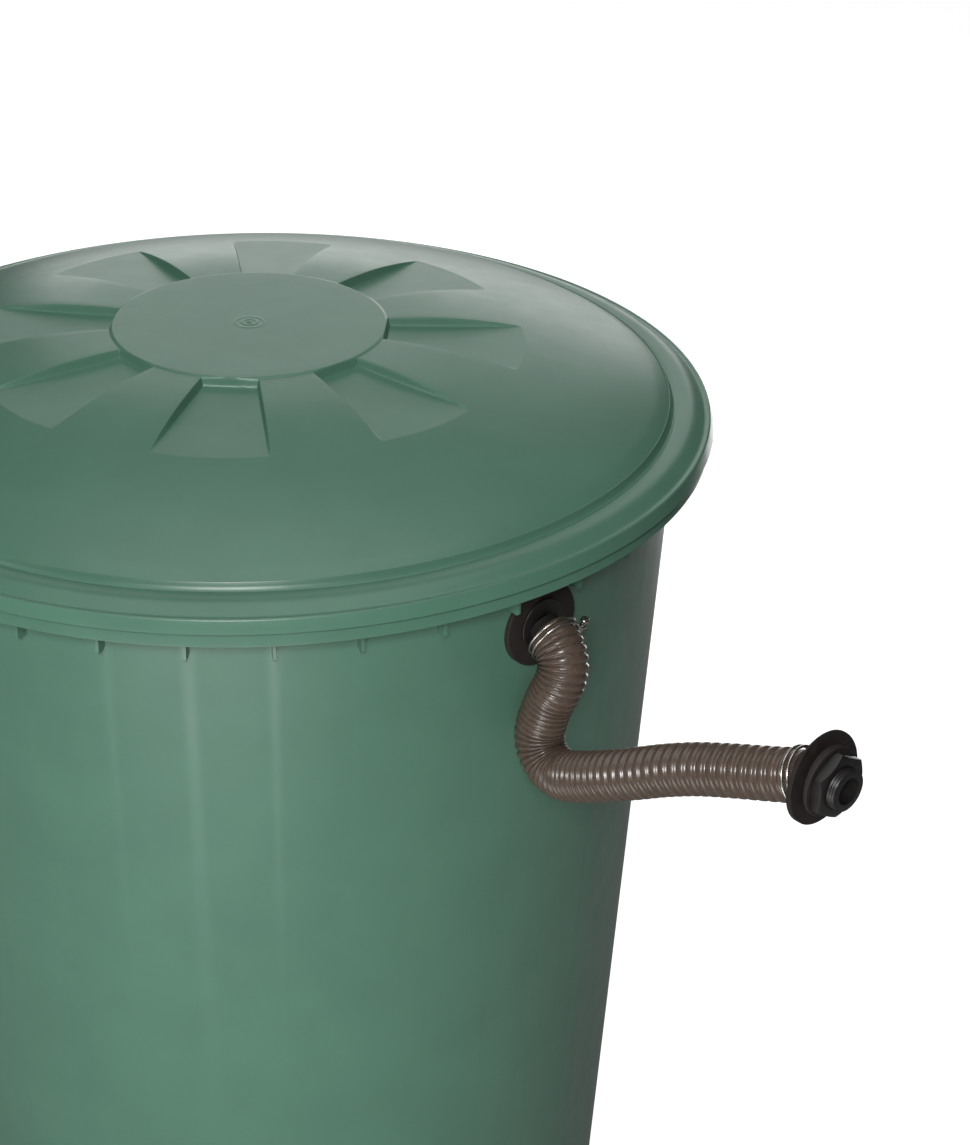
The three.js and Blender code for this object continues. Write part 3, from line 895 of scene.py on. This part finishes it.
class BARREL_OT_link_fittings(bpy.types.Operator):
    """Builds the through-wall fittings at both ends of the link hose"""

    bl_idname = "barrel.link_fittings"
    bl_label = "Link fittings"

    def execute(self, context):
        link = context.scene.link_sizes
        height = millimetres(link.height)
        plastic = materials()["moulded_black_polypropylene"]
        near = nozzle_piece("link_spigot")
        far = bpy.data.objects.new("far_spigot", near.data.copy())
        context.scene.collection.objects.link(far)
        for prefix, piece, outwards, facing in (
            ("link", near, 0, 0),
            ("far", far, millimetres(link.spacing), math.pi),
        ):
            place = wall_frame(link.azimuth, height, outwards, facing)
            add_fastening(
                prefix, place, height, LINK_THREAD, LINK_SEAL, LINK_SEAL_THICKNESS, LINK_WASHER, LINK_NUT
            )
            piece.data.transform(in_metres(place))
            finish_piece(piece, plastic, "barrel", "black_pp", prefix + "_nozzle")
        return {"FINISHED"}


# ---- Bellows hose ----
def route_point(a, b, c, d, share):
    """A point between b and c on the smooth curve through four points, with centripetal spacing."""
    times = [0.0]
    for p, q in ((a, b), (b, c), (c, d)):
        times.append(times[-1] + max((q - p).length, 1e-6) ** 0.5)
    t = times[1] + share * (times[2] - times[1])

    def mix(p, q, start, end):
        return p.lerp(q, (t - start) / (end - start))

    ab, bc, cd = mix(a, b, *times[0:2]), mix(b, c, *times[1:3]), mix(c, d, *times[2:4])
    return mix(mix(ab, bc, times[0], times[2]), mix(bc, cd, times[1], times[3]), times[1], times[2])


def hose_line(place):
    """Closely spaced points of the hose's middle line, with their distances along it, in mm."""
    route = [Vector(p) for p in HOSE_ROUTE]
    route = [2 * route[0] - route[1]] + route + [2 * route[-1] - route[-2]]
    line = []
    for k in range(1, len(route) - 2):
        line += [route_point(*route[k - 1 : k + 3], n / 40) for n in range(40)]
    line = [place @ p for p in line + [route[-2]]]
    along = [0.0]
    for p, q in zip(line, line[1:]):
        along.append(along[-1] + (q - p).length)
    return line, along


def at_distance(line, along, distance):
    """The point and the direction at a distance along a line."""
    k = next((i for i, s in enumerate(along[1:-1]) if s >= distance), len(along) - 2)
    share = (distance - along[k]) / (along[k + 1] - along[k])
    before, after = line[max(k - 3, 0)], line[min(k + 4, len(line) - 1)]
    return line[k].lerp(line[k + 1], share), (after - before).normalized()


def convolution(link, distance, total):
    """The pitch of the convolutions at a distance along the hose: short in the drop, long in the run."""
    drawn_out = smooth_step(distance, 0.36 * total, 0.56 * total)
    return millimetres(link.short_pitch) + millimetres(link.long_pitch - link.short_pitch) * drawn_out


def hose_outline(link, total):
    """Distances along the hose and the radius at each, down every crest and groove, with plain cuffs at the ends."""
    outline = []
    depth = millimetres(link.convolution_depth)
    crest = millimetres(link.hose_radius) + 1.1
    distance, phase = 0.0, 0.0
    while distance < total:
        pitch = convolution(link, distance, total)
        wave = 0.5 - 0.5 * math.cos(WHOLE_TURN * phase)
        groove = wave**2.2
        from_end = min(distance, total - distance)
        plain = smooth_step(from_end, HOSE_CUFF, HOSE_CUFF + 3)
        drawn_out = (pitch - millimetres(link.short_pitch)) / millimetres(link.long_pitch - link.short_pitch)
        shallow = 0.6 + 0.4 * drawn_out
        outline.append((distance, crest - depth * shallow * (groove * plain + 0.5 * (1 - plain))))
        step = pitch / 14
        distance += step
        phase += step / pitch
    outline.append((total, crest - 0.5 * depth))
    return outline


def tube_rings(stations):
    """Rings of points round a line, from (point, direction, radius), with as little twist as the bends allow."""
    across = Vector((0, 0, 1)).cross(stations[0][1]).normalized()
    rings = []
    for point, direction, radius in stations:
        across = (across - direction * across.dot(direction)).normalized()
        other = direction.cross(across)
        turns = (WHOLE_TURN * k / HOSE_SIDES for k in range(HOSE_SIDES))
        rings.append([point + (across * math.cos(a) + other * math.sin(a)) * radius for a in turns])
    return rings


class BARREL_OT_link_hose(bpy.types.Operator):
    """Builds the bellows hose along its route"""

    bl_idname = "barrel.link_hose"
    bl_label = "Link hose"

    def execute(self, context):
        link = context.scene.link_sizes
        line, along = hose_line(wall_frame(link.azimuth, millimetres(link.height)))
        outside = [(*at_distance(line, along, s), r) for s, r in hose_outline(link, along[-1])]
        bore = millimetres(link.hose_radius) - HOSE_WALL
        inside = [(*at_distance(line, along, along[-1] * k / 90), bore) for k in range(90, -1, -1)]
        rings = tube_rings(outside)
        rings += list(reversed(tube_rings(list(reversed(inside)))))
        points = [p for ring in rings for p in ring]
        numbers = [range(HOSE_SIDES * k, HOSE_SIDES * (k + 1)) for k in range(len(rings))]
        piece = mesh_object("link_bellows_hose", (points, bridge(numbers, looped=True)))
        finish_piece(piece, materials()["extruded_brown_polyethylene"], "barrel", "hose_brown", "link_hose")
        return {"FINISHED"}


# ---- Hose clamps ----
def wire_ring(radius, wire, x):
    """A round wire bent into a ring about X."""
    count, sides = 96, 12
    rings = []
    for k in range(count):
        a = WHOLE_TURN * k / count
        out = Vector((0, math.cos(a), math.sin(a)))
        middle = out * radius + Vector((x, 0, 0))
        turns = (WHOLE_TURN * n / sides for n in range(sides))
        rings.append([middle + (out * math.cos(t) + Vector((1, 0, 0)) * math.sin(t)) * wire for t in turns])
    numbers = [range(sides * k, sides * (k + 1)) for k in range(count)]
    return [p for ring in rings for p in ring], bridge(numbers, looped=True)


def block(x0, x1, y0, y1, z0, z1):
    corners = [Vector((x, y, z)) for z in (z0, z1) for x, y in ((x0, y0), (x1, y0), (x1, y1), (x0, y1))]
    faces = [(3, 2, 1, 0), (4, 5, 6, 7), (0, 1, 5, 4), (1, 2, 6, 5), (2, 3, 7, 6), (3, 0, 4, 7)]
    return corners, [list(face) for face in faces]


def clamp_rings(name, radius, wire, saddle):
    """Two wire rings side by side, joined by the foot that the screw pushes on."""
    rings = mesh_object(name, wire_ring(radius, wire, -CLAMP_GAP))
    combine(rings, wire_ring(radius, wire, CLAMP_GAP), "UNION")
    combine(rings, block(-3.5, 3.5, saddle - 1, saddle + 5, -9, -6), "UNION")
    return rings


def clamp_nut(name, axis):
    nut = mesh_object(name, block(-2.5, 2.5, axis - 3.6, axis + 3.6, 2, 5))
    hole = placed(rod(CLAMP_SCREW + GAP, -20, 20, 32), Matrix.Translation((0, axis, 0)))
    combine(nut, hole, "DIFFERENCE")
    bevel(nut, 0.35)
    return nut


def clamp_screw(name, axis):
    """A threaded screw with a slotted pan head."""
    shank = [(0, -5.7)]
    for k in range(14):
        shank += [(CLAMP_SCREW, -5.1 + 1.1 * k, 0.15), (1.65, -4.55 + 1.1 * k, 0.15)]
    shank += [(CLAMP_SCREW, 11.3), (3.6, 11.3, 0.5), (3.6, 13.2, 1), (2.4, 13.9, 0.6), (0, 13.9)]
    screw = mesh_object(name, placed(turned(shank, 32), Matrix.Translation((0, axis, 0))))
    combine(screw, block(-0.5, 0.5, axis - 5, axis + 5, 12.8, 15), "DIFFERENCE")
    return screw


class BARREL_OT_hose_clamps(bpy.types.Operator):
    """Builds the double-wire clamps with their nuts and screws"""

    bl_idname = "barrel.hose_clamps"
    bl_label = "Hose clamps"

    def execute(self, context):
        link = context.scene.link_sizes
        steel = materials()["zinc_plated_drawn_steel"]
        fitting = wall_frame(link.azimuth, millimetres(link.height))
        line, along = hose_line(fitting)
        facing = fitting.to_quaternion()
        wire = millimetres(link.clamp_wire)
        radius = millimetres(link.hose_radius) + 1 + wire
        saddle = radius + 0.4
        axis = saddle + 2.4 + CLAMP_SCREW
        for prefix, distance in (("link", CLAMP_PLACE), ("far", along[-1] - CLAMP_PLACE)):
            point, direction = at_distance(line, along, distance)
            turn = facing @ Vector((1, 0, 0)).rotation_difference(facing.inverted() @ direction)
            place = in_metres(Matrix.Translation(point) @ turn.to_matrix().to_4x4())
            rings = clamp_rings(prefix + "_clamp_rings", radius, wire, saddle)
            nut = clamp_nut(prefix + "_clamp_square_nut", axis)
            screw = clamp_screw(prefix + "_clamp_pan_screw", axis)
            for piece, node in ((rings, "_clamp_wire"), (nut, "_clamp_nut"), (screw, "_clamp_screw")):
                piece.data.transform(place)
                finish_piece(piece, steel, "barrel", "steel", prefix + node)
        return {"FINISHED"}


# ---- Tap ----
def tap_body_piece(tap):
    """The threaded tail, flange, plug housing and spout, with the waterway through them."""
    face = TAP_SEAL_THICKNESS + 2 * GAP
    plug = millimetres(tap.plug_place)
    spout = millimetres(tap.spout_place)
    drop = millimetres(tap.spout_drop)
    thread = [(0, -20)]
    for k in range(7):
        thread += [(TAP_THREAD, -19.4 + 1.8 * k, 0.25), (TAP_THREAD - 0.8, -18.5 + 1.8 * k, 0.25)]
    thread += [(TAP_THREAD, -6.6, 0.2), (TAP_THREAD, 4), (0, 4)]
    piece = mesh_object("tap_body_moulding", placed(turned(thread, 64, 2), ALONG_X))
    at_plug = Matrix.Translation((plug, 0, 0))
    at_spout = Matrix.Translation((spout, 0, 0))
    mouth = [(0, -drop), (11, -drop, 0.8), (11, -drop + 8, 1.5), (9, -drop + 10, 1), (9, 7, 4), (0, 7)]
    for shape in (
        placed(rod(TAP_SEAL, face, face + 3.5, 96, 0.9), ALONG_X),
        placed(rod(TAP_THREAD, face + 1, spout + 3, 64, 0.5), ALONG_X),
        placed(rod(13, -16, 16, 64, 1.2), at_plug),
        placed(turned(mouth, 64), at_spout),
    ):
        combine(piece, shape, "UNION")
    for shape in (
        placed(rod(TAP_BORE, -21, spout), ALONG_X),
        placed(rod(9.3, -12, 17), at_plug),
        placed(rod(TAP_BORE, -drop - 1, 0), at_spout),
    ):
        combine(piece, shape, "DIFFERENCE")
    return piece


def tap_plug_piece(at_plug):
    """The turning plug, with the waterway across it and the screw's hole down it."""
    plug = mesh_object("tap_plug_moulding", placed(rod(9, -11.7, 20, 64, 0.6), at_plug))
    across = Matrix.Rotation(math.pi / 2, 4, "Z") @ ALONG_X
    combine(plug, placed(rod(TAP_BORE, -11, 11, 48), at_plug @ across), "DIFFERENCE")
    combine(plug, placed(rod(2.1, 12, 21, 32), at_plug), "DIFFERENCE")
    return plug


def tap_lever_piece(tap, at_plug):
    """The lever, narrow by its hub and broad at its tip, with the hub round the screw."""
    tip = -millimetres(tap.lever_length)
    tail = -tip / 2
    right = [(4.2, tail), (5.5, tail - 2), (4.4, 4), (4.2, -8), (5.5, tip + 7), (5.0, tip + 2), (3.4, tip)]
    outline = right + [(-x, y) for x, y in reversed(right)]
    low, high = ([Vector((x, y, z)) for x, y in outline] for z in (22.3, 28.3))
    lever = mesh_object("tap_lever_moulding", placed(prism(low, high), at_plug))
    combine(lever, placed(rod(11, 20.3, 28.3, 64, 1), at_plug), "UNION")
    combine(lever, placed(rod(2.1, 19, 30, 32), at_plug), "DIFFERENCE")
    bevel(lever, 0.8)
    return lever


def tap_screw_piece(at_plug):
    """The lever's screw, with a cross slot in its pan head."""
    head = [(0, 13), (1.8, 13, 0.4), (1.8, 28.6), (4.2, 28.6, 0.3), (4.0, 30, 1), (2.6, 31.2, 0.8), (0, 31.2)]
    screw = mesh_object("tap_lever_screw", placed(turned(head, 48), at_plug))
    for turn in (0, math.pi / 2):
        slot = placed(block(-0.45, 0.45, -2.4, 2.4, 30, 32), at_plug @ Matrix.Rotation(turn, 4, "Z"))
        combine(screw, slot, "DIFFERENCE")
    return screw


class BARREL_OT_tap(bpy.types.Operator):
    """Builds the tap: its body, plug, lever and screw, and what holds it in the wall"""

    bl_idname = "barrel.tap"
    bl_label = "Tap"

    def execute(self, context):
        tap = context.scene.tap_sizes
        acetal = materials()["moulded_black_acetal"]
        height = millimetres(tap.height)
        place = wall_frame(0, height)
        add_fastening("tap", place, height, TAP_THREAD, TAP_SEAL, TAP_SEAL_THICKNESS, TAP_WASHER, TAP_NUT)
        body = tap_body_piece(tap)
        at_plug = Matrix.Translation((millimetres(tap.plug_place), 0, 0))
        plug = tap_plug_piece(at_plug)
        lever = tap_lever_piece(tap, at_plug)
        screw = tap_screw_piece(at_plug)
        for piece, material, body_name, slot_name, node in (
            (body, acetal, "barrel", "tap_black", "tap_body"),
            (plug, acetal, "tap_lever", "tap_black", "tap_plug"),
            (lever, acetal, "tap_lever", "tap_black", "tap_handle"),
            (screw, materials()["zinc_plated_drawn_steel"], "tap_lever", "steel", "tap_handle_screw"),
        ):
            piece.data.transform(in_metres(place))
            finish_piece(piece, material, body_name, slot_name, node)
        return {"FINISHED"}


# ---- Stage ----
def add_panel_light(name, place, target, width, height, power):
    """A soft rectangular light that faces a point."""
    light = bpy.data.lights.new(name, "AREA")
    light.shape = "RECTANGLE"
    light.size = width
    light.size_y = height
    light.energy = power
    lamp = bpy.data.objects.new(name, light)
    lamp.visible_camera = False
    lamp.location = place
    lamp.rotation_euler = (Vector(target) - Vector(place)).to_track_quat("-Z", "Y").to_euler()
    bpy.context.scene.collection.objects.link(lamp)


def matt_floor(grey):
    """Matt studio paper that looks white but throws little light back up at the barrel."""
    material, tree, shader, _ = new_material(
        "matt_studio_floor", {"Base Color": grey, "Roughness": 0.9, "Emission Color": (1, 1, 1, 1)}
    )
    ray = add_node(tree, "ShaderNodeLightPath")
    lift = add_node(
        tree,
        "ShaderNodeMath",
        {"operation": "MULTIPLY"},
        {0: ray.outputs["Is Camera Ray"], 1: FLOOR_GLOW},
    )
    tree.links.new(lift.outputs["Value"], shader.inputs["Emission Strength"])
    return material


def set_camera(scene):
    stage = scene.stage_settings
    camera = bpy.data.objects.new("camera", bpy.data.cameras.new("camera"))
    camera.data.lens = stage.lens
    camera.data.clip_end = 100
    camera.location = stage.camera_place
    level = Matrix.Rotation(-stage.heading, 4, "Z") @ Matrix.Rotation(math.pi / 2 - stage.pitch, 4, "X")
    camera.rotation_euler = (level @ Matrix.Rotation(stage.roll, 4, "Z")).to_euler()
    scene.collection.objects.link(camera)
    scene.camera = camera


def lay_floor(scene):
    corners = [(x * FLOOR_HALF, y * FLOOR_HALF, 0) for x, y in ((-1, -1), (1, -1), (1, 1), (-1, 1))]
    mesh = bpy.data.meshes.new("studio_floor")
    mesh.from_pydata(corners, [], [(0, 1, 2, 3)])
    mesh.materials.append(matt_floor(linear(scene.barrel_colours.floor)))
    floor = bpy.data.objects.new("studio_floor", mesh)
    scene.collection.objects.link(floor)


def hang_backdrop(scene):
    """A world that looks white behind the floor and gives only a faint fill."""
    world = bpy.data.worlds.new("studio")
    world.use_nodes = True
    tree = world.node_tree
    background = tree.nodes["Background"]
    background.inputs["Color"].default_value = (1, 1, 1, 1)
    ray = add_node(tree, "ShaderNodeLightPath")
    brightness = add_node(
        tree,
        "ShaderNodeMath",
        {"operation": "MULTIPLY_ADD"},
        {0: ray.outputs["Is Camera Ray"], 1: BACKDROP_GLOW, 2: AMBIENT},
    )
    tree.links.new(brightness.outputs["Value"], background.inputs["Strength"])
    scene.world = world


class BARREL_OT_stage(bpy.types.Operator):
    """Sets the camera, the pale floor and the soft studio lights"""

    bl_idname = "barrel.stage"
    bl_label = "Stage"

    def execute(self, context):
        scene = context.scene
        set_camera(scene)
        lay_floor(scene)
        hang_backdrop(scene)
        for light in STAGE_LIGHTS:
            add_panel_light(*light)
        scene.view_settings.view_transform = "Standard"
        return {"FINISHED"}


class BARREL_PT_panel(bpy.types.Panel):
    """Lists the steps that build the barrel."""

    bl_label = "Rain barrel"
    bl_idname = "BARREL_PT_panel"
    bl_space_type = "VIEW_3D"
    bl_region_type = "UI"
    bl_category = "Rain barrel"

    def draw(self, context):
        for operator in OPERATORS:
            self.layout.operator(operator.bl_idname)


SETTINGS = {
    "tub_sizes": TubSizes,
    "lid_sizes": LidSizes,
    "link_sizes": LinkSizes,
    "tap_sizes": TapSizes,
    "barrel_colours": Colours,
    "stage_settings": StageSettings,
}
OPERATORS = (
    BARREL_OT_stage,
    BARREL_OT_tub,
    BARREL_OT_lid,
    BARREL_OT_link_fittings,
    BARREL_OT_hose_clamps,
    BARREL_OT_link_hose,
    BARREL_OT_tap,
)


def register():
    for cls in (*SETTINGS.values(), *OPERATORS, BARREL_PT_panel):
        bpy.utils.register_class(cls)
    for name, group in SETTINGS.items():
        setattr(bpy.types.Scene, name, PointerProperty(type=group))


def unregister():
    for name in SETTINGS:
        delattr(bpy.types.Scene, name)
    for cls in (BARREL_PT_panel, *reversed(OPERATORS), *SETTINGS.values()):
        bpy.utils.unregister_class(cls)


def main():
    register()
    bpy.ops.barrel.stage()
    bpy.ops.barrel.tub()
    bpy.ops.barrel.lid()
    bpy.ops.barrel.link_fittings()
    bpy.ops.barrel.hose_clamps()
    bpy.ops.barrel.link_hose()
    bpy.ops.barrel.tap()


if __name__ == "__main__":
    main()
